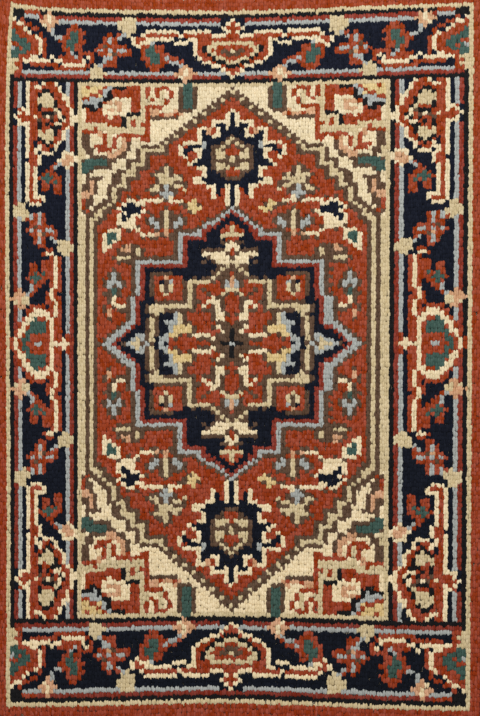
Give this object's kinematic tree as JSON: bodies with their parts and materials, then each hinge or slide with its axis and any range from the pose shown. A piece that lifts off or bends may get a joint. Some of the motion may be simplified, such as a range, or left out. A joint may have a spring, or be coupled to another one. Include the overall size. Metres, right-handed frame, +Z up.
{
  "type": "area rug",
  "caption": "Small hand-knotted wool rug with a stepped medallion on a red field, a navy flower border, overcast sides and a knotted cotton fringe.",
  "frame": {"origin": "middle of the flat back that lies on the floor", "axes": "+Y along the warps towards the head end, +X across the rug, +Z up out of the pile"},
  "size_m": [0.61, 0.974, 0.012],
  "materials": {
    "wool_rust": "dull wool pile, rust red, abrashed",
    "wool_crimson": "dull wool pile, deep rose red",
    "wool_navy": "dull wool pile, near-black navy",
    "wool_black": "dull wool pile, black-green",
    "wool_light_blue": "dull wool pile, pale grey-blue",
    "wool_ivory": "dull wool pile, warm ivory",
    "wool_cream": "dull wool pile, yellowish cream",
    "wool_brown": "dull wool pile, mottled purple-brown",
    "wool_teal": "dull wool pile, dark teal green",
    "wool_pink": "dull wool pile, peach pink",
    "wool_gold": "dull wool pile, straw gold",
    "wool_knot_backs": "backs of the wool knots, every pile colour",
    "wool_overcast": "wool yarn wrapped round the selvedge",
    "cotton_warp": "undyed plied cotton",
    "cotton_weft": "undyed cotton",
    "cotton_web": "plain woven undyed cotton",
    "cotton_fringe": "undyed plied cotton, knotted"
  },
  "bodies": {
    "root": {"knot_backs": "wool_knot_backs", "lower_warps": "cotton_warp", "upper_warps": "cotton_warp", "cable_wefts": "cotton_weft", "selvedge_core_left": "cotton_warp", "selvedge_core_right": "cotton_warp", "selvedge_overcast_left": "wool_overcast", "selvedge_overcast_right": "wool_overcast", "end_web_head": "cotton_web", "end_web_foot": "cotton_web", "fringe_knots_head": "cotton_fringe", "fringe_knots_foot": "cotton_fringe", "fringe_head": "cotton_fringe", "fringe_foot": "cotton_fringe", "pile_margin": "wool_rust", "pile_outer_cream_line": "wool_cream", "pile_outer_black_line": "wool_black", "pile_border_red_lines": "wool_crimson", "pile_border_blue_lines": "wool_light_blue", "pile_border_head": "wool_navy", "pile_border_foot": "wool_navy", "pile_border_left": "wool_navy", "pile_border_right": "wool_navy", "pile_inner_black_line": "wool_black", "pile_inner_cream_line": "wool_cream", "pile_corner_head_left": "wool_ivory", "pile_corner_head_right": "wool_ivory", "pile_corner_foot_left": "wool_ivory", "pile_corner_foot_right": "wool_ivory", "pile_field_edging": "wool_brown", "pile_field": "wool_rust", "pile_pendant_rim_head": "wool_ivory", "pile_pendant_rim_foot": "wool_ivory", "pile_pendant_ground_head": "wool_navy", "pile_pendant_ground_foot": "wool_navy", "pile_medallion_blue_line": "wool_light_blue", "pile_medallion_red_line": "wool_rust", "pile_medallion_ground": "wool_navy", "pile_medallion_squares": "wool_rust", "pile_medallion_panel_rim": "wool_ivory", "pile_medallion_panel": "wool_rust"}
  },
  "joints": []
}
